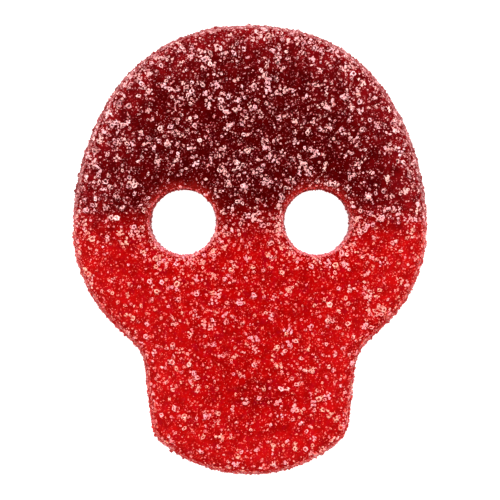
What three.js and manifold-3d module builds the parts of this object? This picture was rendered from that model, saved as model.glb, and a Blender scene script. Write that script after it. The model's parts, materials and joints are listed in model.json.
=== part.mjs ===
// A sour gummy skull: one casting of gel with a flat back and two eye holes, coated in sugar crystals.
// Millimetres. It lies on its back with the shown face up: +Z out of that face, +Y to the crown,
// +X to the right of the face. The origin is under the middle of the piece, on what it rests on.
import * as THREE from 'three';
import { mergeVertices } from 'three/addons/utils/BufferGeometryUtils.js';
import { MeshSurfaceSampler } from 'three/addons/math/MeshSurfaceSampler.js';
import Module from 'manifold-3d';

const wasm = await Module();
wasm.setup();

// Whole piece, sugar included
const HEIGHT = 36;
const THICKNESS = 8.6;
const SUGAR_COAT = 0.18; // mean depth of the sugar on the gel

// Right half of the outline from the crown to the chin, for a piece 36 mm high. The arcs meet
// smoothly, a minus turn is a hollow bend, and the chin arc that closes it follows from the rest.
const OUTLINE = [
  { at: 'crown', radius: 17, turn: 12.2 },
  { at: 'upper skull', radius: 11.8, turn: 44.5 },
  { at: 'temple', radius: 19.6, turn: 33.5 },
  { at: 'cheekbone', radius: 10.8, turn: 46.3 },
  { at: 'under the cheek', length: 1.9 },
  { at: 'waist', radius: 3.1, turn: -39.7 },
  { at: 'jaw side', length: 4.7 },
  { at: 'jaw corner', radius: 2.2, turn: 42.7 },
];
const OUTLINE_STEPS = 44; // on each half

// Section of the gel, from the back up
const BACK_EDGE_RADIUS = 0.5;
const BACK_EDGE_STEPS = 2;
const DRAFT = 0.45; // how much the wall leans in on its way up
const FRONT_EDGE_RADIUS = 1.3;
const FRONT_EDGE_STEPS = 4;
const DOME = 0.45; // rise of the face from its rounded edge to the middle
const FACE_RINGS = [0.16, 0.38, 0.62, 0.84]; // shares of the way from the edge to the middle
const FACE_MIDDLE = new THREE.Vector2(0, 0.8);

// Eye holes, narrowest at the back, with a rounded rim at the face
const EYE_SPREAD = 5.29; // from the middle line to an eye's centre
const EYE_HEIGHT = 2.2; // from mid height up to an eye's centre
const EYE_RADIUS = 2.52;
const EYE_DRAFT = 0.2;
const EYE_RIM_RADIUS = 0.75;
const EYE_RIM_STEPS = 4;
const EYE_SIDES = 28;

// Largest sugar crystals, fused to the gel
const CRYSTALS = 255;
const CRYSTAL_SIZES = [0.5, 0.85]; // longest side, smallest and largest
const CRYSTAL_WIDTHS = [0.65, 1]; // other sides, as shares of the longest
const CRYSTAL_SPACING = 2.6; // between centres, eased where no room is left
const CRYSTAL_OUT = [-0.14, 0.02]; // centre above the gel's surface
const SPACING_EASE = 0.99995; // for each place that was too near another
const REST_CRYSTAL = new THREE.Vector3(0.8, 0.7, 0.5); // lies flat in the middle of the back
const SEED = 20;

const GEL_RED = 0xb40c10;

const random = () => THREE.MathUtils.seededRandom();
const between = ([low, high]) => low + (high - low) * random();

// A path through the arcs and straights of half the outline, from (0, 0), heading along +X
function halfOutlinePath() {
  const path = new THREE.CurvePath();
  const end = new THREE.Vector2();
  let heading = 0;

  const addArc = (radius, turn) => {
    const side = Math.sign(turn);
    const centre = new THREE.Vector2(
      end.x + side * radius * Math.sin(heading),
      end.y - side * radius * Math.cos(heading),
    );
    const start = heading + side * Math.PI / 2;
    const arc = new THREE.EllipseCurve(
      centre.x, centre.y, radius, radius, start, start - turn, turn > 0,
    );
    path.add(arc);
    end.copy(arc.getPoint(1));
    heading -= turn;
  };

  const addStraight = (length) => {
    const start = end.clone();
    end.x += length * Math.cos(heading);
    end.y += length * Math.sin(heading);
    path.add(new THREE.LineCurve(start, end.clone()));
  };

  for (const { radius, turn, length } of OUTLINE) {
    if (length) {
      addStraight(length);
    } else {
      addArc(radius, THREE.MathUtils.degToRad(turn));
    }
  }
  const chinTurn = Math.PI + heading;
  addArc(end.x / Math.sin(chinTurn), chinTurn);
  return path;
}

// The whole outline as evenly spaced places, clockwise from the crown, each with its outward
// direction, brought to the piece's height and centred on it
function outlinePlaces() {
  const path = halfOutlinePath();
  const natural = -path.getPoint(1).y;
  const scale = HEIGHT / natural;
  const right = [];
  for (let i = 0; i <= OUTLINE_STEPS; i += 1) {
    const t = i / OUTLINE_STEPS;
    const point = path.getPoint(t);
    const along = path.getTangent(t);
    right.push({
      point: new THREE.Vector2(point.x * scale, (point.y + natural / 2) * scale),
      outward: new THREE.Vector2(-along.y, along.x),
    });
  }
  for (const place of [right[0], right[OUTLINE_STEPS]]) {
    place.point.x = 0;
    place.outward.set(0, Math.sign(place.point.y));
  }
  const left = right.slice(1, -1).reverse().map(({ point, outward }) => ({
    point: new THREE.Vector2(-point.x, point.y),
    outward: new THREE.Vector2(-outward.x, outward.y),
  }));
  return [...right, ...left];
}

// Heights of the gel: its back, and its face at the rounded edge
const backHeight = SUGAR_COAT;
const faceEdgeHeight = THICKNESS - SUGAR_COAT - DOME;

// Steps of the gel's section as [inset from the outline, height]
function sectionSteps() {
  const steps = [];
  for (let i = 0; i <= BACK_EDGE_STEPS; i += 1) {
    const angle = (Math.PI / 2) * (i / BACK_EDGE_STEPS);
    steps.push([
      BACK_EDGE_RADIUS * (1 - Math.sin(angle)),
      backHeight + BACK_EDGE_RADIUS * (1 - Math.cos(angle)),
    ]);
  }
  for (let i = 0; i <= FRONT_EDGE_STEPS; i += 1) {
    const angle = (Math.PI / 2) * (i / FRONT_EDGE_STEPS);
    steps.push([
      DRAFT + FRONT_EDGE_RADIUS * (1 - Math.cos(angle)),
      faceEdgeHeight - FRONT_EDGE_RADIUS * (1 - Math.sin(angle)),
    ]);
  }
  return steps.map(([inset, height]) => [inset + SUGAR_COAT, height]);
}

// Closed solid of the gel without its eyes: rings of points up the wall and over the face
function gelGeometry() {
  const places = outlinePlaces();
  const rings = sectionSteps().map(([inset, height]) => places.map(({ point, outward }) => (
    new THREE.Vector3(point.x - inset * outward.x, point.y - inset * outward.y, height)
  )));
  const edge = rings[rings.length - 1];
  for (const share of FACE_RINGS) {
    const height = faceEdgeHeight + DOME * (1 - (1 - share) ** 2);
    rings.push(edge.map(({ x, y }) => new THREE.Vector3(
      THREE.MathUtils.lerp(x, FACE_MIDDLE.x, share),
      THREE.MathUtils.lerp(y, FACE_MIDDLE.y, share),
      height,
    )));
  }

  const count = places.length;
  const vertices = rings.flat();
  const backCentre = vertices.push(new THREE.Vector3(FACE_MIDDLE.x, FACE_MIDDLE.y, backHeight)) - 1;
  const faceCentre = vertices.push(
    new THREE.Vector3(FACE_MIDDLE.x, FACE_MIDDLE.y, faceEdgeHeight + DOME),
  ) - 1;
  const faces = [];
  for (let i = 0; i < count; i += 1) {
    const next = (i + 1) % count;
    faces.push(backCentre, i, next);
    for (let ring = 0; ring < rings.length - 1; ring += 1) {
      const low = ring * count;
      const high = low + count;
      faces.push(low + i, high + i, low + next);
      faces.push(low + next, high + i, high + next);
    }
    const last = (rings.length - 1) * count;
    faces.push(last + i, faceCentre, last + next);
  }
  const geometry = new THREE.BufferGeometry().setFromPoints(vertices);
  geometry.setIndex(faces);
  return geometry;
}

// What one eye hole takes away, turned about +Z
function eyeCutterGeometry() {
  const rimHeight = faceEdgeHeight + DOME * 0.75;
  const rimStart = EYE_RADIUS + EYE_DRAFT;
  const profile = [
    new THREE.Vector2(0, backHeight - 1),
    new THREE.Vector2(EYE_RADIUS + 1 + BACK_EDGE_RADIUS / 2, backHeight - 1),
    new THREE.Vector2(EYE_RADIUS, backHeight + BACK_EDGE_RADIUS / 2),
  ];
  for (let i = 0; i <= EYE_RIM_STEPS; i += 1) {
    const angle = (Math.PI / 2) * (i / EYE_RIM_STEPS);
    profile.push(new THREE.Vector2(
      rimStart + EYE_RIM_RADIUS * (1 - Math.cos(angle)),
      rimHeight - EYE_RIM_RADIUS * (1 - Math.sin(angle)),
    ));
  }
  profile.push(new THREE.Vector2(rimStart + EYE_RIM_RADIUS + 0.3, THICKNESS + 1));
  profile.push(new THREE.Vector2(0, THICKNESS + 1));
  return new THREE.LatheGeometry(profile, EYE_SIDES).rotateX(Math.PI / 2);
}

// Places and outward directions for the crystals: random on the gel, kept apart
function crystalPlaces(geometry) {
  const sampler = new MeshSurfaceSampler(new THREE.Mesh(geometry));
  sampler.setRandomGenerator(random).build();
  const places = [];
  const taken = [new THREE.Vector3(FACE_MIDDLE.x, FACE_MIDDLE.y, backHeight)];
  let spacing = CRYSTAL_SPACING;
  while (places.length < CRYSTALS) {
    const position = new THREE.Vector3();
    const outward = new THREE.Vector3();
    sampler.sample(position, outward);
    if (taken.every((place) => place.distanceTo(position) > spacing)) {
      places.push({ position, outward });
      taken.push(position);
    } else {
      spacing *= SPACING_EASE;
    }
  }
  return places;
}

// One sugar crystal, turned any way and partly sunk in the gel
function crystalGeometry({ position, outward }) {
  const size = between(CRYSTAL_SIZES);
  const sides = [size, size * between(CRYSTAL_WIDTHS), size * between(CRYSTAL_WIDTHS)];
  const [turnX, turnY, turnZ] = [0, 0, 0].map(() => between([0, Math.PI]));
  const centre = position.clone().addScaledVector(outward, between(CRYSTAL_OUT));
  return new THREE.BoxGeometry(...sides)
    .rotateX(turnX)
    .rotateY(turnY)
    .rotateZ(turnZ)
    .translate(...centre);
}

// The crystal that it rests on in the middle, with a level underside
function restCrystalGeometry() {
  return new THREE.BoxGeometry(...REST_CRYSTAL)
    .translate(FACE_MIDDLE.x, FACE_MIDDLE.y, REST_CRYSTAL.z / 2);
}

function toManifold(source) {
  const bare = source.clone();
  bare.deleteAttribute('normal');
  bare.deleteAttribute('uv');
  const merged = mergeVertices(bare);
  return new wasm.Manifold(new wasm.Mesh({
    numProp: 3,
    vertProperties: merged.attributes.position.array,
    triVerts: Uint32Array.from(merged.index.array),
  }));
}

function toGeometry(manifold) {
  const { vertProperties, triVerts } = manifold.getMesh();
  const geometry = new THREE.BufferGeometry();
  geometry.setAttribute('position', new THREE.BufferAttribute(vertProperties, 3));
  geometry.setIndex(new THREE.BufferAttribute(triVerts, 1));
  geometry.computeVertexNormals();
  return geometry;
}

// The gel with both eyes cut through it
function gelSolid() {
  let gel = toManifold(gelGeometry());
  for (const side of [-1, 1]) {
    const cutter = eyeCutterGeometry().translate(side * EYE_SPREAD, EYE_HEIGHT, 0);
    gel = gel.subtract(toManifold(cutter));
  }
  return gel;
}

// The gel with its largest crystals. Those underneath are pressed level with what it rests on.
function sugaredSolid() {
  const gel = gelSolid();
  let piece = gel.add(toManifold(restCrystalGeometry()));
  for (const place of crystalPlaces(toGeometry(gel))) {
    piece = piece.add(toManifold(crystalGeometry(place)));
  }
  const below = new THREE.BoxGeometry(2 * HEIGHT, 2 * HEIGHT, 2).translate(0, 0, -1);
  return piece.subtract(toManifold(below));
}

THREE.MathUtils.seededRandom(SEED);

const skull = new THREE.Mesh(
  toGeometry(sugaredSolid()),
  new THREE.MeshStandardMaterial({ color: GEL_RED, roughness: 0.35, metalness: 0 }),
);
skull.name = 'sour_gummy_skull';

const group = new THREE.Group();
group.add(skull);

export default group;
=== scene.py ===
"""Sour gummy skull: a gel sweet in two reds, coated in sugar crystals, and its studio.

Everything is in metres. The face looks up along +Z, the
crown is at +Y, and the sweet lies on z = 0. Sizes below are in millimetres, as the sweet is
measured, and MM brings them to metres.
"""
import json
import math

import bmesh
import bpy
import numpy as np
from bpy.props import FloatProperty, FloatVectorProperty, IntProperty, PointerProperty
from mathutils import Euler, Matrix, Vector, kdtree, noise

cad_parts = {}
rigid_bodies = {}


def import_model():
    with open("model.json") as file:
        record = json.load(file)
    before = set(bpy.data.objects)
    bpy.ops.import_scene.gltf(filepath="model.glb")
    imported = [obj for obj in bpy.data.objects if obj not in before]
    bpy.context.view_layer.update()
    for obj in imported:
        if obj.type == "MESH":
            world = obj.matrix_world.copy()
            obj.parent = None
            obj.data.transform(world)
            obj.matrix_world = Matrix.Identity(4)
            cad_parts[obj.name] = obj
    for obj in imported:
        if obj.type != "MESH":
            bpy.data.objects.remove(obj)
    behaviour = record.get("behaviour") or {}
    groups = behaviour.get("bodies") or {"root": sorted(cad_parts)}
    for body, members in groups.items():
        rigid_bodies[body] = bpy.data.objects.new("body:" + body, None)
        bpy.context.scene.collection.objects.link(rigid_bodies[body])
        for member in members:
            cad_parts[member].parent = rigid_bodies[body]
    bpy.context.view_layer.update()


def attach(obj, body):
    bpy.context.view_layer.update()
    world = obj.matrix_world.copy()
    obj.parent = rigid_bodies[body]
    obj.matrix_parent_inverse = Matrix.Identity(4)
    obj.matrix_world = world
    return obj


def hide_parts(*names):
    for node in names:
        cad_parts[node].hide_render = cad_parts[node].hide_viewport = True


bl_info = {
    "name": "Sour Gummy Skull",
    "version": (1, 0, 0),
    "blender": (4, 5, 0),
    "location": "3D View > Sidebar > Gummy Skull",
    "description": "Builds a sugared gel skull with two eye holes, and the studio round it",
    "category": "Add Mesh",
}

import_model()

BODY = "root"
SOLID = "sour_gummy_skull"
MM = 0.001
BLACK = (0.0, 0.0, 0.0)
WHITE = (1.0, 1.0, 1.0, 1.0)

# Right half of the outline, crown to chin, for a sweet 36 mm high: a radius and a turn in degrees
# for an arc, where a minus turn is a hollow bend, or a length and no turn for a straight.
OUTLINE = (
    ("crown", 17.0, 12.2),
    ("upper skull", 11.8, 44.5),
    ("temple", 19.6, 33.5),
    ("cheekbone", 10.8, 46.3),
    ("under the cheek", 1.9, 0.0),
    ("waist", 3.1, -39.7),
    ("jaw side", 4.7, 0.0),
    ("jaw corner", 2.2, 42.7),
)
FACE_MIDDLE = (0.0, 0.8)

# How finely the gel is drawn: points down half the outline, and down the same line where distances
# are measured from it, rings over the face, points round an eye, and steps in an edge's quarter turn
OUTLINE_POINTS = 150
MEASURED_POINTS = 200
FACE_RINGS = 12
EYE_POINTS = 72
BACK_STEPS = 4
RIM_STEPS = 8


def size_setting(name, description, default):
    """A size for a user to change."""
    return FloatProperty(name=name, description=description + ", in mm", default=default)


def number_setting(name, description, default, subtype="NONE"):
    """A plain number for a user to change."""
    return FloatProperty(name=name, description=description, subtype=subtype, default=default)


def colour_setting(name, description, default):
    """A colour for a user to change."""
    return FloatVectorProperty(name=name, description=description, subtype="COLOR", default=default)


class GelSettings(bpy.types.PropertyGroup):
    """Sizes and colours of the gel"""

    height: size_setting("Height", "Crown to chin, sugar included", 36.0)
    thickness: size_setting("Thickness", "Back to face, sugar included", 8.6)
    sugar_coat: size_setting("Sugar Coat", "Mean depth of the sugar on the gel", 0.085)
    back_edge: size_setting("Back Edge", "Radius of the edge round the back", 0.5)
    draft: size_setting("Draft", "How far the wall leans in on its way up", 0.45)
    front_edge: size_setting("Front Edge", "Radius of the edge round the face", 1.3)
    dome: size_setting("Dome", "Rise of the face from its edge to its middle", 0.45)
    eye_spread: size_setting("Eye Spread", "Middle line to an eye's centre", 5.29)
    eye_height: size_setting("Eye Height", "Mid height up to an eye's centre", 2.2)
    eye_radius: size_setting("Eye Radius", "Radius of an eye hole at the back", 2.61)
    eye_draft: size_setting("Eye Draft", "How much wider an eye is at the face", 0.2)
    eye_rim: size_setting("Eye Rim", "Radius of an eye's rounded rim", 0.75)
    grid: size_setting("Grid", "Face size of the gel's mesh", 0.2)
    relief: size_setting("Relief", "Height of the gel's uneven surface", 0.05)
    border: size_setting("Border", "Height where the two reds meet", 1.8)
    border_width: size_setting("Border Width", "How softly the reds meet", 2.5)
    crown_red: colour_setting("Crown Red", "Dark red of the upper gel", (0.05, 0.0002, 0.0002))
    # The backlit reds are painted light: the gel is drawn brighter near the outline, where it is thin,
    # standing in for light let through it
    crown_backlit_red: colour_setting("Crown Backlit Red", "Upper gel where it is thin", (0.25, 0.004, 0.006))
    jaw_red: colour_setting("Jaw Red", "Bright red of the lower gel", (0.3, 0.001, 0.001))
    jaw_backlit_red: colour_setting("Jaw Backlit Red", "Lower gel where it is thin", (0.43, 0.0045, 0.0045))
    # Painted light: the gel and the crystals are drawn a bright red along the eye holes, standing in for
    # light let through the gel there
    eye_lit_red: colour_setting("Eye Lit Red", "Gel along the eye holes", (0.85, 0.022, 0.016))
    eye_glow: colour_setting("Eye Glow", "Light let through along the eye holes", (0.2, 0.006, 0.004))
    crown_dust: colour_setting("Crown Dust", "Finest sugar on the crown", (0.55, 0.09, 0.1))
    jaw_dust: colour_setting("Jaw Dust", "Finest sugar on the jaw", (0.95, 0.09, 0.07))
    chin_patch: FloatVectorProperty(
        name="Chin Patch", size=4, default=(1.0, -11.3, 3.2, 1.5),
        description="Darker patch: its middle across and up, then its half sizes, in mm")


class SugarSettings(bpy.types.PropertyGroup):
    """Sizes, amounts and colour of the sugar"""

    amount: number_setting("Amount", "Share of the usual number of crystals", 1.0)
    clumping: number_setting("Clumping", "How unevenly the sugar has stuck", 1.0)
    patches: number_setting("Patches", "Patches of sugar for each mm", 0.8)
    seed: IntProperty(name="Seed", description="Another seed gives another coating", default=7)
    crown_white: colour_setting("Crown White", "Milky crystal on the crown", (1.0, 0.55, 0.55))
    crown_pink: colour_setting("Crown Pink", "Half-clear crystal on the crown", (0.85, 0.2, 0.215))
    jaw_white: colour_setting("Jaw White", "Milky crystal on the jaw", (1.0, 0.42, 0.39))
    jaw_pink: colour_setting("Jaw Pink", "Half-clear crystal on the jaw", (1.0, 0.14, 0.12))
    crown_glow: colour_setting("Crown Glow", "Red light in crystals on the crown", (0.3, 0.02, 0.022))
    jaw_glow: colour_setting("Jaw Glow", "Red light in crystals on the jaw", (0.8, 0.02, 0.016))
    warm_tone: colour_setting("Warm Tone", "Tint of the warmest crystals", (1.0, 0.44, 0.16))
    cool_tone: colour_setting("Cool Tone", "Tint of the coolest crystals", (1.0, 0.3, 0.52))
    eye_glow: colour_setting("Eye Glow", "Light let through along the eye holes", (0.12, 0.004, 0.004))
    clearness: number_setting("Clearness", "How glassy a crystal is", 0.1)


class StageSettings(bpy.types.PropertyGroup):
    """Camera and light"""

    frame_width: size_setting("Frame Width", "What the camera sees across the floor", 40.0)
    camera_height: size_setting("Camera Height", "Camera above the floor", 450.0)
    floor_glow: number_setting("Floor Glow", "Light given off by the floor", 0.95)
    key: number_setting("Key", "Power of the light beyond the crown", 1.8, "POWER")
    top: number_setting("Top", "Power of the light overhead", 2.4, "POWER")
    fill: number_setting("Fill", "Power of each side light", 0.3, "POWER")
    around: number_setting("Around", "Strength of the light from all round", 0.12)


def settings(name):
    """The scene's settings for the gel, the sugar or the stage."""
    return getattr(bpy.context.scene, "gummy_skull_" + name)


# Outline and section of the gel

def half_outline():
    """Closely spaced points down the right half from (0, 0), and the heading at each, clockwise."""
    fine = 0.02
    points = [(0.0, 0.0)]
    headings = [0.0]

    def walk(size, turn):
        x, y = points[-1]
        heading = headings[-1]
        length = size * abs(turn) if turn else size
        steps = max(2, round(length / fine))
        for i in range(1, steps + 1):
            part = i / steps
            if turn:
                side = math.copysign(1, turn)
                ahead = heading + turn * part
                points.append((
                    x + side * size * (math.sin(ahead) - math.sin(heading)),
                    y - side * size * (math.cos(heading) - math.cos(ahead)),
                ))
                headings.append(ahead)
            else:
                points.append((x + size * part * math.cos(heading), y - size * part * math.sin(heading)))
                headings.append(heading)

    for _, size, turn in OUTLINE:
        walk(size, math.radians(turn))
    # The chin is the one arc that ends on the middle line and level
    chin_turn = math.pi - headings[-1]
    walk(points[-1][0] / math.sin(chin_turn), chin_turn)
    return np.array(points), np.array(headings)


def outline(count, height):
    """count points each side, evenly spaced clockwise from the crown, and their outward directions."""
    points, headings = half_outline()
    points *= height / -points[-1, 1]
    points[:, 1] += height / 2
    run = np.concatenate([[0], np.cumsum(np.linalg.norm(np.diff(points, axis=0), axis=1))])
    at = np.linspace(0, run[-1], count + 1)
    right = np.stack([np.interp(at, run, points[:, 0]), np.interp(at, run, points[:, 1])], 1)
    heading = np.interp(at, run, headings)
    outward = np.stack([np.sin(heading), np.cos(heading)], 1)
    right[[0, -1], 0] = 0
    mirror = np.array([-1, 1])
    left = right[-2:0:-1] * mirror
    return np.concatenate([right, left]), np.concatenate([outward, outward[-2:0:-1] * mirror])


def arc_steps(count):
    """Angles of a quarter turn."""
    return np.linspace(0, math.pi / 2, count + 1)


def gel_section(gel):
    """Steps up the wall as (inset from the sugared outline, height above the floor), in mm."""
    back = gel.sugar_coat
    face_edge = gel.thickness - gel.sugar_coat - gel.dome
    steps = [
        (gel.back_edge * (1 - math.sin(a)), back + gel.back_edge * (1 - math.cos(a)))
        for a in arc_steps(BACK_STEPS)
    ]
    steps += [
        (gel.draft + gel.front_edge * (1 - math.cos(a)), face_edge - gel.front_edge * (1 - math.sin(a)))
        for a in arc_steps(RIM_STEPS)
    ]
    return [(inset + gel.sugar_coat, height) for inset, height in steps]


def mesh_from(name, vertices, faces):
    """A mesh from points and faces, with its faces pointing out."""
    mesh = bpy.data.meshes.new(name)
    mesh.from_pydata([tuple(v) for v in vertices], [], faces)
    form = bmesh.new()
    form.from_mesh(mesh)
    bmesh.ops.recalc_face_normals(form, faces=form.faces)
    form.to_mesh(mesh)
    form.free()
    return mesh


def gel_blank(gel):
    """The gel before its eyes are cut, in mm: rings up the wall and in over the face.

    The rings on the face lie at shares of the way from its edge to its middle.
    """
    first_ring = 0.08
    last_ring = 0.96
    places, outward = outline(OUTLINE_POINTS, gel.height)
    rings = [
        np.column_stack([places - inset * outward, np.full(len(places), height)])
        for inset, height in gel_section(gel)
    ]
    edge = rings[-1]
    middle = np.array([*FACE_MIDDLE, 0])
    for share in np.linspace(first_ring, last_ring, FACE_RINGS):
        ring = edge * (1 - share) + middle * share
        ring[:, 2] = edge[0, 2] + gel.dome * (1 - (1 - share) ** 2)
        rings.append(ring)
    count = len(places)
    vertices = np.concatenate(rings + [
        [[*FACE_MIDDLE, rings[0][0, 2]]],
        [[*FACE_MIDDLE, edge[0, 2] + gel.dome]],
    ])
    back_middle = len(vertices) - 2
    face_middle = len(vertices) - 1
    last = (len(rings) - 1) * count
    faces = []
    for i in range(count):
        following = (i + 1) % count
        faces.append((back_middle, i, following))
        faces.append((last + i, face_middle, last + following))
        for low in range(0, last, count):
            faces.append((low + i, low + count + i, low + count + following, low + following))
    return mesh_from("gel blank", vertices, faces)


def eye_plug(gel, side):
    """What one eye hole takes out of the gel, in mm: a turned plug."""
    around = EYE_POINTS
    margin = 1.0
    back = gel.sugar_coat
    soft = gel.back_edge / 2
    rim_height = gel.thickness - gel.sugar_coat - gel.dome / 4
    rim_start = gel.eye_radius + gel.eye_draft
    profile = [(gel.eye_radius + soft + margin, back - margin)]
    profile += [
        (gel.eye_radius + soft * (1 - math.sin(a)), back + soft * (1 - math.cos(a)))
        for a in arc_steps(BACK_STEPS)
    ]
    profile += [
        (rim_start + gel.eye_rim * (1 - math.cos(a)), rim_height - gel.eye_rim * (1 - math.sin(a)))
        for a in arc_steps(RIM_STEPS)
    ]
    profile.append((rim_start + gel.eye_rim + margin / 2, gel.thickness + margin))
    vertices = []
    for radius, height in profile:
        for k in range(around):
            turn = 2 * math.pi * k / around
            vertices.append((
                side * gel.eye_spread + radius * math.cos(turn),
                gel.eye_height + radius * math.sin(turn),
                height,
            ))
    faces = [
        (row + k, row + (k + 1) % around, row + around + (k + 1) % around, row + around + k)
        for row in range(0, (len(profile) - 1) * around, around)
        for k in range(around)
    ]
    faces.append(tuple(range(around)))
    faces.append(tuple(range(len(vertices) - around, len(vertices))))
    return mesh_from("eye plug", vertices, faces)


def link(name, mesh):
    """A new object for a mesh, in the scene."""
    thing = bpy.data.objects.new(name, mesh)
    bpy.context.scene.collection.objects.link(thing)
    return thing


def finished_mesh(thing):
    """The mesh that an object's modifiers give. The object itself is removed."""
    shown = thing.evaluated_get(bpy.context.evaluated_depsgraph_get())
    mesh = bpy.data.meshes.new_from_object(shown)
    bpy.data.objects.remove(thing)
    return mesh


def coordinates(mesh):
    """A mesh's vertex positions as an array."""
    flat = np.empty(len(mesh.vertices) * 3)
    mesh.vertices.foreach_get("co", flat)
    return flat.reshape(-1, 3)


def cut_gel(gel):
    """The gel with both eyes cut through, on an even mesh, in mm."""
    body = link("gel", gel_blank(gel))
    plugs = [link("eye", eye_plug(gel, side)) for side in (-1, 1)]
    for plug in plugs:
        cut = body.modifiers.new("eye", "BOOLEAN")
        cut.operation = "DIFFERENCE"
        cut.solver = "EXACT"
        cut.object = plug
    even = body.modifiers.new("even faces", "REMESH")
    even.mode = "VOXEL"
    even.voxel_size = gel.grid
    mesh = finished_mesh(body)
    for plug in plugs:
        bpy.data.objects.remove(plug)
    return mesh


def uneven(gel, mesh):
    """Lets the gel's surface swell and dip a little, as a casting does under sugar.

    The back stays level. Swells are broad ones with finer ones over them, in waves a millimetre.
    """
    broad = 0.7
    fine = 2.1
    fine_share = 0.6
    elsewhere = Vector((9, 0, 0))
    places = coordinates(mesh)
    normals = np.empty(len(places) * 3)
    mesh.vertex_normals.foreach_get("vector", normals)
    normals = normals.reshape(-1, 3)
    swell = np.array([
        noise.noise(Vector(p) * broad) + fine_share * noise.noise(Vector(p) * fine + elsewhere)
        for p in places
    ])
    faces_down = normals[:, 2] < -0.5
    swell[faces_down] = 0
    places += normals * (gel.relief * swell)[:, None]
    mesh.vertices.foreach_set("co", places.ravel())


def mark_thin_edges(gel, mesh):
    """Stores how far each point lies from the outline, and how far from an eye, in mm."""
    places = coordinates(mesh)
    rim, _ = outline(MEASURED_POINTS, gel.height)
    tree = kdtree.KDTree(len(rim))
    for i, (x, y) in enumerate(rim):
        tree.insert((x, y, 0), i)
    tree.balance()
    from_rim = [tree.find((x, y, 0))[2] for x, y, _ in places]
    eye = np.hypot(np.abs(places[:, 0]) - gel.eye_spread, places[:, 1] - gel.eye_height)
    from_eye = np.abs(eye - gel.eye_radius)
    for name, away in (("inset", from_rim), ("eye_gap", from_eye)):
        mesh.attributes.new(name, "FLOAT", "POINT").data.foreach_set("value", away)


# Nodes

def add_node(tree, kind, settings=None, inputs=None):
    """A node of one kind, its settings set first, then its inputs by place or name."""
    node = tree.nodes.new(kind)
    for name, value in (settings or {}).items():
        setattr(node, name, value)
    pairs = inputs.items() if isinstance(inputs, dict) else enumerate(inputs or [])
    for key, value in pairs:
        if isinstance(value, Value):
            tree.links.new(value.socket, node.inputs[key])
        elif isinstance(value, bpy.types.NodeSocket):
            tree.links.new(value, node.inputs[key])
        elif value is not None:
            node.inputs[key].default_value = value
    return node


class Value:
    """A socket that adds Math nodes when it is used in a sum."""

    def __init__(self, shader, socket):
        self.shader = shader
        self.socket = socket

    def math(self, operation, *others):
        return self.shader.value("ShaderNodeMath", {"operation": operation}, [self, *others])

    def __add__(self, other):
        return self.math("ADD", other)

    def __sub__(self, other):
        return self.math("SUBTRACT", other)

    def __mul__(self, other):
        return self.math("MULTIPLY", other)

    def __truediv__(self, other):
        return self.math("DIVIDE", other)

    def __rsub__(self, other):
        return self.shader.value("ShaderNodeMath", {"operation": "SUBTRACT"}, [other, self])

    __radd__ = __add__
    __rmul__ = __mul__

    def between(self, low, high):
        """low where this is 0, and high where it is 1."""
        return self * (high - low) + low


class Shader:
    """A material being made."""

    def __init__(self, name):
        self.material = bpy.data.materials.new(name)
        self.material.use_nodes = True
        self.tree = self.material.node_tree
        self.tree.nodes.clear()
        self.output = self.tree.nodes.new("ShaderNodeOutputMaterial")

    def node(self, kind, settings=None, inputs=None):
        """A node of this material."""
        return add_node(self.tree, kind, settings, inputs)

    def value(self, kind, settings=None, inputs=None, output=0):
        """One output of such a node."""
        return Value(self, self.node(kind, settings, inputs).outputs[output])

    def mix(self, share, first, second):
        """Two colours mixed, each a socket or a red, green and blue."""
        ends = [end if isinstance(end, bpy.types.NodeSocket) else (*end, 1.0) for end in (first, second)]
        return self.node(
            "ShaderNodeMix", {"data_type": "RGBA"}, {0: share, 6: ends[0], 7: ends[1]}).outputs[2]

    def noise(self, place, scale, detail=2.0):
        """Noise from 0 to 1, with scale in waves a metre."""
        return self.value("ShaderNodeTexNoise", None, {"Vector": place, "Scale": scale, "Detail": detail})

    def step(self, value, low, high):
        """0 at low, 1 at high, and smooth between."""
        return self.value(
            "ShaderNodeMapRange", {"interpolation_type": "SMOOTHSTEP"},
            {"Value": value, "From Min": low, "From Max": high})

    def attribute(self, name):
        """A number stored on the mesh."""
        return self.value("ShaderNodeAttribute", {"attribute_name": name}, output="Fac")

    def fading(self, name, rate):
        """1 where a distance stored in mm is 0, and fading with it: a higher rate fades sooner."""
        return (self.attribute(name) * -rate).math("EXPONENT")

    def axes(self, place):
        """The X, Y and Z of a place."""
        outputs = self.node("ShaderNodeSeparateXYZ", None, [place]).outputs
        return [Value(self, socket) for socket in outputs]

    def finish(self, surface):
        """The material, with this node as its surface."""
        self.tree.links.new(surface.outputs[0], self.output.inputs[0])
        return self.material


def thinness(shader):
    """1 at the outline, where the gel is thin, fading away from it."""
    return shader.fading("inset", 0.5)


def crown_share(shader, gel, place):
    """1 on the crown and 0 on the jaw: a soft, uneven border, higher on the right and at the outline."""
    wander = 2.0 * MM
    wander_waves = 160.0
    slope = 0.008
    rise_at_outline = 0.8 * MM
    x, y, _ = shader.axes(place)
    drift = (shader.noise(place, wander_waves) - 0.5) * wander
    level = y + drift - x * slope - thinness(shader) * rise_at_outline
    half = gel.border_width * MM
    return shader.step(level, gel.border * MM - half, gel.border * MM + half)


def eye_edge(shader, gel, crown, place):
    """1 along an eye hole's rim on the crown, fading over the face and down the hole."""
    faint_below = (gel.thickness - 6.5) * MM
    full_above = (gel.thickness - 2.0) * MM
    _, _, z = shader.axes(place)
    high = shader.step(z, faint_below, full_above)
    return shader.fading("eye_gap", 4.2) * crown * high.between(0.35, 1.0)


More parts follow.
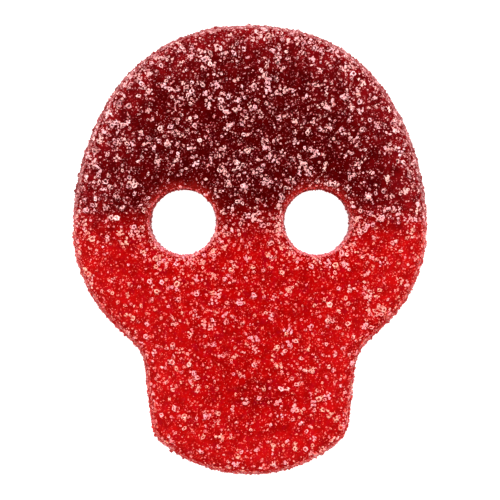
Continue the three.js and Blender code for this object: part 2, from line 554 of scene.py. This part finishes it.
def gel_red_with_painted_light(shader, gel, crown, place):
    """The gel's two reds at a place, with painted light let through: brighter near the outline, where the
    gel is thin, and along the eyes.
    """
    # Painted light: a brighter red near the outline and along the eye holes
    thin = thinness(shader)
    upper = shader.mix(thin, gel.crown_red, gel.crown_backlit_red)
    lower = shader.mix(thin, gel.jaw_red, gel.jaw_backlit_red)
    reds = shader.mix(crown, lower, upper)
    return shader.mix(eye_edge(shader, gel, crown, place), reds, gel.eye_lit_red)


def chin_shade(shader, gel, place):
    """The faint darker patch on the chin: strongest in its middle and nothing beyond its ends."""
    strongest = 0.22
    middle_x, middle_y, half_width, half_height = gel.chin_patch
    x, y, _ = shader.axes(place)
    across = (x - middle_x * MM) / (half_width * MM)
    along = (y - middle_y * MM) / (half_height * MM)
    return shader.step(across * across + along * along, 1.0, 0.0) * strongest


def gel_surface(shader, gel, crown, place):
    """The bare gel: its red, clouded darker in places, with a faint bluish bloom."""
    cloud_waves = 1300.0
    bloom_waves = 2200.0
    gloss_waves = 2500.0
    bump_waves = 5200.0
    near_black = (0.02, 0.0, 0.0)
    violet = (0.4, 0.0, 0.35)
    clouds = shader.step(shader.noise(place, cloud_waves, 4.0), 0.3, 0.7)
    dark = clouds * crown.between(0.35, 0.65) + chin_shade(shader, gel, place)
    red = shader.mix(dark, gel_red_with_painted_light(shader, gel, crown, place), near_black)
    bloom = shader.step(shader.noise(place, bloom_waves), 0.5, 0.7)
    bumps = shader.noise(place, bump_waves, 3.0)
    bump = shader.node(
        "ShaderNodeBump", None, {"Strength": 0.6, "Distance": 0.06 * MM, "Height": bumps})
    glow = shader.mix(eye_edge(shader, gel, crown, place), BLACK, gel.eye_glow)
    return shader.node("ShaderNodeBsdfPrincipled", {"subsurface_method": "RANDOM_WALK"}, {
        "Base Color": shader.mix(bloom * crown.between(0.008, 0.0015), red, violet),
        "Roughness": shader.noise(place, gloss_waves).between(0.35, 0.6),
        "IOR": 1.45,
        "Specular IOR Level": 0.0,
        "Subsurface Weight": 0.35,
        "Subsurface Radius": (1.0, 0.12, 0.1),
        "Subsurface Scale": 1.2 * MM,
        "Normal": bump.outputs[0],
        "Emission Color": glow,
        "Emission Strength": 1.0,
    })


def dust_share(shader, gel, crown, place):
    """How much of the finest sugar lies at a place: specks too small to model, thicker in patches."""
    speck_waves = 6000.0
    patch_waves = 900.0
    specks = shader.node(
        "ShaderNodeTexVoronoi", {"distance": "MANHATTAN"}, {"Vector": place, "Scale": speck_waves})
    apart, own, _ = (Value(shader, socket) for socket in specks.outputs[:3])
    patches = shader.step(shader.noise(place, patch_waves), 0.35, 0.65)
    thick = patches + eye_edge(shader, gel, crown, place) * 1.5
    return (1 - shader.step(apart, 0.2, 0.42)) * thick.between(0.6, 1.3) * own


def gel_material(gel):
    """Two reds with a soft border, brighter where the gel is thin, and dusted with fine sugar."""
    shader = Shader("red gel")
    place = shader.value("ShaderNodeTexCoord", output="Object")
    crown = crown_share(shader, gel, place)
    dust = shader.node("ShaderNodeBsdfPrincipled", None, {
        "Base Color": shader.mix(crown, gel.jaw_dust, gel.crown_dust),
        "Roughness": 0.6,
        "Specular IOR Level": 0.2,
    })
    surface = gel_surface(shader, gel, crown, place)
    share = dust_share(shader, gel, crown, place)
    dusted = shader.node("ShaderNodeMixShader", None, [share, surface.outputs[0], dust.outputs[0]])
    return shader.finish(dusted)


def grown_large(shader):
    """1 for the largest crystals, most of which are clusters, and 0 for the small ones."""
    return shader.step(shader.attribute("size"), 0.45 * MM, 0.6 * MM)


def milk_and_glint(shader, crown, grain, frost):
    """How milky a crystal is at a place: all over where its own share is high, and along its edges, where
    the white is also a painted highlight standing in for light caught by the edges.
    """
    own = shader.attribute("tint")
    large = grown_large(shader)
    milk = shader.step(own, 0.7, 1.0) * (1 - large) + own.between(-0.75, 0.45) * large
    whole = milk * crown.between(0.4, 0.9) * shader.step(grain, 0.38, 0.54)
    # Painted highlight: the edges are drawn whiter, standing in for light caught along them
    edges = shader.step(frost, 0.55, 0.75) * own.between(0.65, 1.25)
    return whole + edges * (1 - whole)


def painted_clearing(shader, crown, in_eye, upward):
    """How clear a crystal is drawn for its place, as painted light and shade: in the eyes on the crown,
    where the painted red light of the eye holes shows through, and along the outline, where it is painted
    shade.
    """
    own = shader.attribute("tint")
    # Painted shade: the up-facing sides of crystals along the outline are drawn clearer and darker, most
    # on the crown
    at_outline = (1 - shader.step(shader.attribute("inset"), 0.1, 0.6)) * upward
    kept_white = shader.step(own, 0.6, 0.7).between(1.0, 0.5)
    in_eyes = in_eye * shader.attribute("level") * 0.5
    return in_eyes + at_outline * kept_white * crown.between(0.62, 1.0)


def whiteness(shader, crown, in_eye, milky):
    """How white a crystal is at a place: less in its foot and when it is small, less on its top on a
    wall, which is painted shade, and less where painted_clearing takes the white away.
    """
    own = shader.attribute("tint")
    size = shader.attribute("size")
    level = shader.attribute("level")
    upward = shader.step(shader.attribute("upward"), 0.15, 0.5).between(0.15, 1.0)
    clear = painted_clearing(shader, crown, in_eye, upward)
    out = shader.attribute("height") + grown_large(shader) * 0.15
    shown = shader.step(out, 0.0, 0.25) * (1 - clear)
    # Painted shade: on a wall, the up-facing sides of the less milky crystals are drawn less white
    shade_share = shader.step(own, 0.35, 0.55).between(0.85, 0.0)
    on_wall = 1 - (1 - level) * upward * shade_share
    smallest = crown.between(0.5, 0.7)
    grown = shader.step(size, 0.05 * MM, 0.4 * MM) * (1 - smallest) + smallest
    return milky * shown * on_wall * grown


def crystal_body(shader, gel, sugar, crown, in_eye, frost, red):
    """The clear part of a crystal: the gel's red seen through it, darkened towards near black by painted
    shade, most on the level face of the crown and not at all on the walls, and painted red where light
    gathers.
    """
    near_black = (0.015, 0.0, 0.0)
    glow = shader.mix(crown, sugar.jaw_glow, sugar.crown_glow)
    # Painted shade: the body is drawn darker on the crown and on level ground
    shaded_core = shader.mix(crown.between(0.3, 0.8) * shader.attribute("level"), red, near_black)
    small = 1 - shader.step(shader.attribute("size"), 0.2 * MM, 0.45 * MM)
    raised = shader.step(shader.attribute("height"), -0.1, 0.2).between(0.2, 1.0)
    lit = shader.step(frost, 0.2, 0.6) * raised * small.between(0.3, 1.0)
    return shader.mix(in_eye * 0.8, shader.mix(lit, shaded_core, glow), gel.eye_lit_red)


def sugar_material(gel, sugar):
    """Crystals that are milky along their edges and clear between, each to a share of its own: the bright
    edges are partly a painted highlight, and the dark middles painted shade.

    They read what is stored on the mesh: each crystal's tint, hue and size, level, which is 1 on the
    face and 0 on the walls, frost, which is 1 along its edges, where it is drawn milky and
    bright as a painted highlight, height, which is how far a point stands out of the gel, upward, which
    is how far a side looks up, and the gel's two distances.
    """
    grain_waves = 6500.0
    gloss_waves = 4000.0
    shader = Shader("sugar crystal")
    place = shader.value("ShaderNodeTexCoord", output="Object")
    crown = crown_share(shader, gel, place)
    grain = shader.noise(place, grain_waves)
    frost = shader.attribute("frost") + (grain - 0.5) * 2.0
    in_eye = shader.step(eye_edge(shader, gel, crown, place), 0.1, 0.5)
    # Painted light: near each eye, below the border of the two reds, crystals are drawn whiter, cooler
    # and more like those of the crown, standing in for light on the lower eye wall
    under_eye = shader.fading("eye_gap", 4.0) * (1 - crown)

    milky = milk_and_glint(shader, crown, grain, frost)
    share = whiteness(shader, crown, in_eye, milky) * under_eye.between(1.0, 2.5)
    red = gel_red_with_painted_light(shader, gel, crown, place)
    body = crystal_body(shader, gel, sugar, crown, in_eye, frost, red)
    pink = shader.mix(crown + under_eye * 0.5, sugar.jaw_pink, sugar.crown_pink)
    white = shader.mix(crown + under_eye, sugar.jaw_white, sugar.crown_white)
    hue = shader.attribute("hue") + under_eye * 0.6
    tone = shader.mix(hue, sugar.warm_tone, sugar.cool_tone)
    plain = shader.mix(share, body, shader.mix(share, pink, white))
    return shader.finish(shader.node("ShaderNodeBsdfPrincipled", None, {
        "Base Color": shader.mix(share * crown.between(0.32, 0.16), plain, tone),
        "Roughness": shader.noise(place, gloss_waves).between(0.15, 0.45),
        "IOR": 1.4,
        "Specular IOR Level": 0.3,
        "Transmission Weight": sugar.clearness,
        "Emission Color": shader.mix(in_eye, BLACK, sugar.eye_glow),
        "Emission Strength": 1.0,
    }))


def pale_material(stage):
    """The floor: matte white that also gives off light."""
    shader = Shader("pale floor")
    return shader.finish(shader.node("ShaderNodeBsdfPrincipled", None, {
        "Base Color": (0.35, 0.35, 0.35, 1.0),
        "Roughness": 0.9,
        "Emission Color": WHITE,
        "Emission Strength": stage.floor_glow,
    }))


# Sugar crystals

# How far a corner strays from its even place round a crystal, as a share of a side, how many
# different shapes each kind has, and how far apart the kinds' seeds are
CORNER_STRAY = 0.28
SHAPES_PER_KIND = 16
SEED_STEP = 10


def stray_turn(rng, k, sides):
    """The angle of corner k of a ring, a little off its even place."""
    return math.tau * (k + rng.uniform(-CORNER_STRAY, CORNER_STRAY)) / sides


def add_crystal(form, rng, centre, size, sides, tilt):
    """Adds one crystal to a mesh: a squat, uneven prism about size across. Returns its outer faces."""
    taper = rng.uniform(0.6, 0.95)
    half_height = size * rng.uniform(0.3, 0.42)
    wide = size / 2
    narrow = wide * rng.uniform(0.62, 1.0)
    lean = Euler((*rng.uniform(-tilt, tilt, 2), rng.uniform(0, math.tau))).to_matrix()
    rings = []
    for height, scale in ((-half_height, 1.0), (half_height, taper)):
        ring = []
        for k in range(sides):
            turn = stray_turn(rng, k, sides)
            reach = scale * rng.uniform(0.78, 1.12)
            corner = Vector((
                wide * reach * math.cos(turn),
                narrow * reach * math.sin(turn),
                height * rng.uniform(0.7, 1.15),
            ))
            ring.append(form.verts.new(lean @ corner + centre))
        rings.append(ring)
    low, high = rings
    form.faces.new(low[::-1])
    top = form.faces.new(high)
    walls = [form.faces.new((low[k - 1], low[k], high[k], high[k - 1])) for k in range(sides)]
    return top, walls


def add_speck(form, rng):
    """Adds one speck to a mesh: a long and uneven pyramid on three sides, about 1 across."""
    sides = 3
    reach = 0.6
    foot = -0.3
    peak = 0.35
    narrow = rng.uniform(0.35, 0.9)
    ring = []
    for k in range(sides):
        turn = stray_turn(rng, k, sides)
        ring.append(form.verts.new((reach * math.cos(turn), reach * narrow * math.sin(turn), foot)))
    tip = form.verts.new((rng.uniform(-0.25, 0.25), rng.uniform(-0.2, 0.2) * narrow, peak))
    form.faces.new(ring[::-1])
    for k in range(sides):
        form.faces.new((ring[k - 1], ring[k], tip))


def crystal_shape(name, rng, kind):
    """A mesh of one crystal, or of a few grown together, about 1 across and upright.

    Its frost is 1 along a crystal's edges, which the crystal material draws milky and bright as a painted
    highlight, and 0 in the hollowed middle of each face.
    """
    form = bmesh.new()
    members = int(rng.integers(*kind["members"]))
    if not members:
        add_speck(form, rng)
    grouped = members > 1
    spread = (0.42, 0.42, 0.08) if grouped else (0, 0, 0)
    tilt = 0.5 if grouped else 0.0
    tops = []
    walls = []
    for _ in range(members):
        centre = Vector(rng.uniform(-1, 1, 3) * spread)
        size = rng.uniform(0.2, 0.38) if grouped else 1.0
        top, sides = add_crystal(form, rng, centre, size, int(rng.integers(*kind["sides"])), tilt)
        tops.append(top)
        walls += sides
    edges = len(form.verts)
    if kind["hollow"]:
        hollow = tops + walls if kind["hollow_walls"] else tops
        bmesh.ops.poke(form, faces=hollow, offset=-kind["hollow"])
    bmesh.ops.triangulate(form, faces=form.faces)
    mesh = bpy.data.meshes.new(name)
    form.to_mesh(mesh)
    form.free()
    frost = [1.0 if i < edges else 0.0 for i in range(len(mesh.vertices))]
    mesh.attributes.new("frost", "FLOAT", "POINT").data.foreach_set("value", frost)
    return mesh


def crystal_shapes(kind, rng):
    """A collection of different shapes of one kind, to pick from."""
    shapes = bpy.data.collections.new(kind["name"] + " shapes")
    for i in range(SHAPES_PER_KIND):
        mesh = crystal_shape(f"{kind['name']} {i}", rng, kind)
        shapes.objects.link(bpy.data.objects.new(mesh.name, mesh))
    return shapes


# Kinds of sugar, coarse to fine. Members is how many crystals are grown together, from the first
# number up to the second but not that one, and a kind without members is specks. Sides counts a
# crystal's sides in the same way. Hollow is how deep the top of a crystal is dished, and
# hollow_walls says whether its sides are too. Sizes and spacing are in millimetres. Density is in
# crystals for each square millimetre before they are thinned to their spacing, share is how many of
# those are kept on the middle of the crown, and clumps is how bare the gel is between patches. Out
# is how far a crystal's middle lies above the gel, as a share of its size, wall is its size on a
# wall next to the face, jaw is its number on the jaw next to the crown, and milky is the least tint
# of a crystal, from clear to milky.
SUGAR_KINDS = (
    {"name": "sugar_clusters", "members": (6, 11), "sides": (4, 6), "hollow": 0.12, "hollow_walls": False,
     "sizes": (0.45, 0.82), "spacing": 0.6, "density": 5.25, "share": 0.45, "out": (0.0, 0.12),
     "wall": 0.6, "clumps": 0.4, "jaw": 0.55, "milky": 0.75},
    {"name": "sugar_coarse", "members": (1, 2), "sides": (4, 8), "hollow": 0.18, "hollow_walls": True,
     "sizes": (0.3, 0.62), "spacing": 0.3, "density": 7.25, "share": 0.42, "out": (-0.22, 0.06),
     "wall": 0.78, "clumps": 0.65, "jaw": 0.84, "milky": 0.1},
    {"name": "sugar_medium", "members": (1, 2), "sides": (4, 6), "hollow": 0.16, "hollow_walls": False,
     "sizes": (0.16, 0.31), "spacing": 0.13, "density": 18.0, "share": 0.31, "out": (-0.2, 0.1),
     "wall": 0.9, "clumps": 0.55, "jaw": 0.8, "milky": 0.0},
    {"name": "sugar_fine", "members": (0, 1), "sides": (3, 4), "hollow": 0.0, "hollow_walls": False,
     "sizes": (0.1, 0.2), "spacing": 0.06, "density": 32.5, "share": 0.4, "out": (-0.1, 0.3),
     "wall": 0.9, "clumps": 0.5, "jaw": 0.8, "milky": 0.0},
)


class Nodes:
    """A geometry node tree being made, with one geometry in and one out."""

    def __init__(self, name, inputs):
        self.tree = bpy.data.node_groups.new(name, "GeometryNodeTree")
        self.tree.is_modifier = True
        face = self.tree.interface
        face.new_socket("Geometry", in_out="INPUT", socket_type="NodeSocketGeometry")
        face.new_socket("Geometry", in_out="OUTPUT", socket_type="NodeSocketGeometry")
        for label, kind in inputs:
            face.new_socket(label, in_out="INPUT", socket_type=kind)
        self.given = self.tree.nodes.new("NodeGroupInput").outputs
        self.result = self.tree.nodes.new("NodeGroupOutput").inputs[0]

    def node(self, kind, settings=None, inputs=None):
        """The outputs of a new node."""
        return add_node(self.tree, kind, settings, inputs).outputs

    def math(self, operation, *values):
        """A sum of one or two values."""
        return self.node("ShaderNodeMath", {"operation": operation}, values)[0]

    def product(self, *values):
        """Values multiplied."""
        total = values[0]
        for value in values[1:]:
            total = self.math("MULTIPLY", total, value)
        return total

    def remap(self, value, ends, new_ends, smooth=False):
        """A value brought from one range to another."""
        kind = "SMOOTHSTEP" if smooth else "LINEAR"
        return self.node("ShaderNodeMapRange", {"interpolation_type": kind}, {
            "Value": value, "From Min": ends[0], "From Max": ends[1],
            "To Min": new_ends[0], "To Max": new_ends[1],
        })[0]

    def attribute(self, name):
        """A number stored on the geometry."""
        return self.node("GeometryNodeInputNamedAttribute", {"data_type": "FLOAT"}, {"Name": name})[0]

    def store(self, name, value, geometry, domain="POINT"):
        """A geometry with one more attribute, on its points unless another domain is given."""
        return self.node("GeometryNodeStoreNamedAttribute", {"data_type": "FLOAT", "domain": domain}, {
            "Geometry": geometry, "Name": name, "Value": value,
        })[0]

    def random(self, low, high, salt):
        """A number for each point, the same every time for one seed and salt."""
        seed = self.math("ADD", self.given["Seed"], salt)
        return self.node(
            "FunctionNodeRandomValue", {"data_type": "FLOAT"}, {2: low, 3: high, "Seed": seed})[1]

    def vector(self, operation, *values):
        """The outputs of a sum of vectors."""
        return self.node("ShaderNodeVectorMath", {"operation": operation}, values)

    def axes(self, vector):
        """A vector's X, Y and Z."""
        return self.node("ShaderNodeSeparateXYZ", None, [vector])

    def levelness(self, normal):
        """1 where a surface is level and 0 where it is upright."""
        return self.math("ABSOLUTE", self.axes(normal)["Z"])

    def position(self):
        """Each point's place."""
        return self.node("GeometryNodeInputPosition")[0]

    def normal(self):
        """The way that the surface faces."""
        return self.node("GeometryNodeInputNormal")[0]


SUGAR_AMOUNTS = (
    "Spacing", "Density", "Share", "Clumping", "Patch Scale", "Smallest", "Largest", "Wall Share",
    "Jaw Share", "Least Tint", "Deepest", "Highest",
)
SUGAR_INPUTS = (
    ("Shapes", "NodeSocketCollection"),
    *((name, "NodeSocketFloat") for name in SUGAR_AMOUNTS),
    ("Seed", "NodeSocketInt"),
    ("Finish", "NodeSocketMaterial"),
)


def kept_share(tree):
    """How much of a kind's density a place keeps.

    Sugar lies in patches, thinner on the walls and on the jaw, and thicker near the outline and
    round the lower half of each eye.
    """
    given = tree.given
    patches = tree.node("ShaderNodeTexNoise", None, {"Scale": given["Patch Scale"], "Detail": 2.0})[0]
    bare = tree.math("SUBTRACT", 1.0, given["Clumping"])
    patchy = tree.remap(patches, (0.38, 0.58), (bare, 1.0), smooth=True)
    height = tree.axes(tree.position())["Y"]
    crown = tree.remap(height, (-2 * MM, 4 * MM), (0.0, 1.0), smooth=True)
    wall_share = tree.remap(crown, (0.0, 1.0), (0.7, 0.42))
    by_level = tree.remap(tree.levelness(tree.normal()), (0.0, 0.5), (wall_share, 1.0))

    near_rim = tree.remap(tree.attribute("inset"), (0.4, 1.9), (1.0, 0.0))
    by_rim = tree.product(near_rim, tree.remap(crown, (0.0, 1.0), (0.14, 0.58)))
    eye_gap = tree.attribute("eye_gap")
    low = tree.remap(height, (1.0 * MM, 4.5 * MM), (1.0, 0.0), smooth=True)
    by_eye = tree.product(tree.remap(eye_gap, (0.4, 1.5), (0.62, 0.0)), low)
    lip = tree.product(tree.remap(eye_gap, (0.05, 0.4), (0.35, 0.0)), low)

    whole = tree.math("ADD", tree.math("ADD", by_rim, given["Share"]), by_eye)
    of_kind = tree.product(whole, tree.remap(crown, (0.0, 1.0), (given["Jaw Share"], 1.0)))
    return tree.math("ADD", tree.product(patchy, by_level, of_kind), lip)


def crystal_size(tree, level):
    """Each crystal's size: small ones are commoner, and those on a wall or in an eye are smaller."""
    given = tree.given
    towards_small = 1.6
    drawn = tree.math("POWER", tree.random(0.0, 1.0, 1), towards_small)
    usual = tree.remap(drawn, (0.0, 1.0), (given["Smallest"], given["Largest"]))
    on_wall = tree.remap(level, (0.0, 0.9), (given["Wall Share"], 1.0))
    in_eye = tree.remap(tree.attribute("eye_gap"), (0.0, 0.5), (0.7, 1.0))
    return tree.product(usual, on_wall, in_eye)


def marked_points(tree, points, level, size):
    """The points with what the crystals' material reads: tint, size, level and hue."""
    # Painted shade: crystals on the walls are given a lower tint, so they are drawn less white
    wall_shade = tree.remap(level, (0.0, 0.7), (0.8, 1.0))
    tint = tree.product(tree.random(tree.given["Least Tint"], 1.0, 3), wall_shade)
    for name, value in (
        ("tint", tint), ("size", size), ("level", level), ("hue", tree.random(0.0, 1.0, 4)),
    ):
        points = tree.store(name, value, points)
    return points


def set_crystals(tree, scatter, level, size):
    """Crystals on the points, turned any way, leaning a little and partly sunk, as one mesh."""
    given = tree.given
    most_lean = 0.6
    deeper_wall = tree.remap(level, (0.0, 0.9), (0.02, 0.0))
    out = tree.math("SUBTRACT", tree.random(given["Deepest"], given["Highest"], 2), deeper_wall)
    offset = tree.node("ShaderNodeVectorMath", {"operation": "SCALE"}, {
        0: scatter["Normal"], "Scale": tree.product(out, size),
    })[0]
    lean = tree.node("FunctionNodeRandomValue", {"data_type": "FLOAT_VECTOR"}, {
        0: (-most_lean, -most_lean, 0.0), 1: (most_lean, most_lean, math.tau), "Seed": given["Seed"],
    })[0]
    turn = tree.node("FunctionNodeRotateRotation", {"rotation_space": "LOCAL"}, {
        "Rotation": scatter["Rotation"], "Rotate By": lean,
    })[0]
    shapes = tree.node("GeometryNodeCollectionInfo", {"transform_space": "ORIGINAL"}, {
        "Collection": given["Shapes"], "Separate Children": True, "Reset Children": True,
    })[0]
    placed = tree.node("GeometryNodeInstanceOnPoints", None, {
        "Points": marked_points(tree, scatter["Points"], level, size), "Instance": shapes,
        "Pick Instance": True, "Rotation": turn, "Scale": size,
    })[0]
    moved = tree.node("GeometryNodeTranslateInstances", None, {
        "Instances": placed, "Translation": offset, "Local Space": False,
    })[0]
    return tree.node("GeometryNodeRealizeInstances", None, {"Geometry": moved})[0]


def measured_crystals(tree, crystals):
    """Crystals with how far each point stands out of the gel and how far each side looks up.

    The first is a share of the crystal's size, and less than 0 inside the gel.
    """
    gel = tree.given["Geometry"]
    place = tree.position()
    skin = tree.node("GeometryNodeProximity", {"target_element": "FACES"}, {
        0: gel, "Sample Position": place,
    })["Position"]
    facing = tree.node("GeometryNodeSampleNearestSurface", {"data_type": "FLOAT_VECTOR"}, {
        "Mesh": gel, "Value": tree.normal(), "Sample Position": place,
    })[0]
    away = tree.vector("SUBTRACT", place, skin)[0]
    height = tree.vector("DOT_PRODUCT", away, facing)["Value"]
    crystals = tree.store("height", tree.math("DIVIDE", height, tree.attribute("size")), crystals)
    return tree.store("upward", tree.axes(tree.normal())["Z"], crystals, "FACE")


def pressed_level(tree, crystals):
    """Crystals pressed almost level where they reach under the floor, lower points still lower."""
    least = 0.005 * MM
    kept_slope = 0.008
    x, y, z = tree.axes(tree.position())
    squeezed = tree.math("ADD", tree.product(z, kept_slope), least)
    above = tree.math("MAXIMUM", z, squeezed)
    return tree.node("GeometryNodeSetPosition", None, {
        "Geometry": crystals,
        "Position": tree.node("ShaderNodeCombineXYZ", None, [x, y, above])[0],
    })[0]


def sugar_tree():
    """Scatters crystals over a surface, thinned to a spacing, and gives them their finish."""
    tree = Nodes("Sugar Coating", SUGAR_INPUTS)
    given = tree.given
    scatter = tree.node("GeometryNodeDistributePointsOnFaces", {"distribute_method": "POISSON"}, {
        "Mesh": given["Geometry"],
        "Distance Min": given["Spacing"],
        "Density Max": given["Density"],
        "Density Factor": kept_share(tree),
        "Seed": given["Seed"],
    })
    level = tree.levelness(scatter["Normal"])
    size = crystal_size(tree, level)
    crystals = set_crystals(tree, scatter, level, size)
    crystals = pressed_level(tree, measured_crystals(tree, crystals))
    coated = tree.node("GeometryNodeSetMaterial", None, {
        "Geometry": crystals, "Material": given["Finish"],
    })[0]
    tree.tree.links.new(coated, tree.result)
    return tree.tree


def scatter_sugar(gel_mesh, tree, kind, sugar, finish, seed):
    """One kind of sugar over the gel, as a plain mesh."""
    rng = np.random.default_rng(seed)
    shapes = crystal_shapes(kind, rng)
    host = link("host", gel_mesh.copy())
    coat = host.modifiers.new("sugar", "NODES")
    coat.node_group = tree
    given = {
        "Shapes": shapes,
        "Spacing": kind["spacing"] * MM,
        "Density": kind["density"] * sugar.amount / MM ** 2,
        "Share": kind["share"],
        "Clumping": kind["clumps"] * sugar.clumping,
        "Patch Scale": sugar.patches / MM,
        "Wall Share": kind["wall"],
        "Jaw Share": kind["jaw"],
        "Least Tint": kind["milky"],
        "Smallest": kind["sizes"][0] * MM,
        "Largest": kind["sizes"][1] * MM,
        "Deepest": kind["out"][0],
        "Highest": kind["out"][1],
        "Seed": seed,
        "Finish": finish,
    }
    for item in tree.interface.items_tree:
        if item.in_out == "INPUT" and item.name in given:
            coat[item.identifier] = given[item.name]
    mesh = finished_mesh(host)
    for shape in list(shapes.objects):
        bpy.data.objects.remove(shape)
    bpy.data.collections.remove(shapes)
    mesh.name = kind["name"]
    return mesh


# Operators

class GUMMYSKULL_OT_gel(bpy.types.Operator):
    """Build the gel with its two eye holes"""

    bl_idname = "gummy_skull.gel"
    bl_label = "Build Gel"

    def execute(self, context):
        gel = settings("gel")
        mesh = cut_gel(gel)
        uneven(gel, mesh)
        mark_thin_edges(gel, mesh)
        mesh.transform(Matrix.Scale(MM, 4))
        mesh.polygons.foreach_set("use_smooth", [True] * len(mesh.polygons))
        mesh.materials.clear()
        mesh.materials.append(gel_material(gel))
        mesh.name = "gel"
        piece = link("gel", mesh)
        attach(piece, BODY)
        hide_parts(SOLID)
        return {"FINISHED"}


class GUMMYSKULL_OT_sugar(bpy.types.Operator):
    """Coat the gel in every kind of sugar crystal"""

    bl_idname = "gummy_skull.sugar"
    bl_label = "Coat in Sugar"

    def execute(self, context):
        sugar = settings("sugar")
        gel_mesh = bpy.data.objects["gel"].data
        tree = sugar_tree()
        finish = sugar_material(settings("gel"), sugar)
        for place, kind in enumerate(SUGAR_KINDS):
            own_seed = sugar.seed + SEED_STEP * place
            mesh = scatter_sugar(gel_mesh, tree, kind, sugar, finish, own_seed)
            piece = link(kind["name"], mesh)
            print(kind["name"], len(mesh.polygons), "faces")
            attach(piece, BODY)
        bpy.data.node_groups.remove(tree)
        return {"FINISHED"}


def area_light(name, place, size, power):
    """A soft light, turned towards the sweet. Its place and size are in mm."""
    light = bpy.data.lights.new(name, "AREA")
    light.shape = "RECTANGLE"
    light.size = size[0] * MM
    light.size_y = size[1] * MM
    light.energy = power
    lamp = link(name, light)
    lamp.location = Vector(place) * MM
    towards_sweet = Vector((0, 0, 0)) - lamp.location
    lamp.rotation_euler = towards_sweet.to_track_quat("-Z", "Y").to_euler()


class GUMMYSKULL_OT_stage(bpy.types.Operator):
    """Set up the floor, the lights and the camera"""

    bl_idname = "gummy_skull.stage"
    bl_label = "Set Stage"

    def execute(self, context):
        stage = settings("stage")
        reach = 600 * MM
        just_under = -0.02 * MM
        corners = [(x * reach, y * reach, just_under) for x, y in ((-1, -1), (1, -1), (1, 1), (-1, 1))]
        floor = link("floor", mesh_from("floor", corners, [(0, 1, 2, 3)]))
        floor.data.materials.append(pale_material(stage))

        area_light("key light", (0, 190, 380), (160, 100), stage.key)
        area_light("top light", (0, 0, 560), (400, 400), stage.top)
        area_light("left light", (-260, 40, 220), (220, 160), stage.fill)
        area_light("right light", (260, 40, 220), (220, 160), stage.fill)
        area_light("near light", (0, -280, 220), (240, 140), stage.fill * 0.9)

        world = bpy.data.worlds.new("studio")
        world.use_nodes = True
        background = world.node_tree.nodes["Background"]
        background.inputs["Color"].default_value = WHITE
        background.inputs["Strength"].default_value = stage.around
        context.scene.world = world
        context.scene.view_settings.view_transform = "Standard"

        camera = bpy.data.cameras.new("camera")
        camera.clip_start = 10 * MM
        camera.clip_end = 2.0
        camera.lens = camera.sensor_width * stage.camera_height / stage.frame_width
        eye = link("camera", camera)
        eye.location = (0, 0, stage.camera_height * MM)
        context.scene.camera = eye
        return {"FINISHED"}


class GUMMYSKULL_PT_panel(bpy.types.Panel):
    """Sizes, colours and steps of the sweet"""

    bl_idname = "GUMMYSKULL_PT_panel"
    bl_label = "Sour Gummy Skull"
    bl_space_type = "VIEW_3D"
    bl_region_type = "UI"
    bl_category = "Gummy Skull"

    def draw(self, context):
        for name, operator in STEPS:
            box = self.layout.box()
            group = settings(name)
            for key in group.__annotations__:
                box.prop(group, key)
            box.operator(operator)


STEPS = (
    ("gel", GUMMYSKULL_OT_gel.bl_idname),
    ("sugar", GUMMYSKULL_OT_sugar.bl_idname),
    ("stage", GUMMYSKULL_OT_stage.bl_idname),
)

GROUPS = {"gel": GelSettings, "sugar": SugarSettings, "stage": StageSettings}

CLASSES = (
    *GROUPS.values(),
    GUMMYSKULL_OT_gel,
    GUMMYSKULL_OT_sugar,
    GUMMYSKULL_OT_stage,
    GUMMYSKULL_PT_panel,
)


def register():
    for cls in CLASSES:
        bpy.utils.register_class(cls)
    for name, group in GROUPS.items():
        setattr(bpy.types.Scene, "gummy_skull_" + name, PointerProperty(type=group))


def unregister():
    for name in GROUPS:
        delattr(bpy.types.Scene, "gummy_skull_" + name)
    for cls in reversed(CLASSES):
        bpy.utils.unregister_class(cls)


def main():
    register()
    bpy.ops.gummy_skull.stage()
    bpy.ops.gummy_skull.gel()
    bpy.ops.gummy_skull.sugar()


if __name__ == "__main__":
    main()
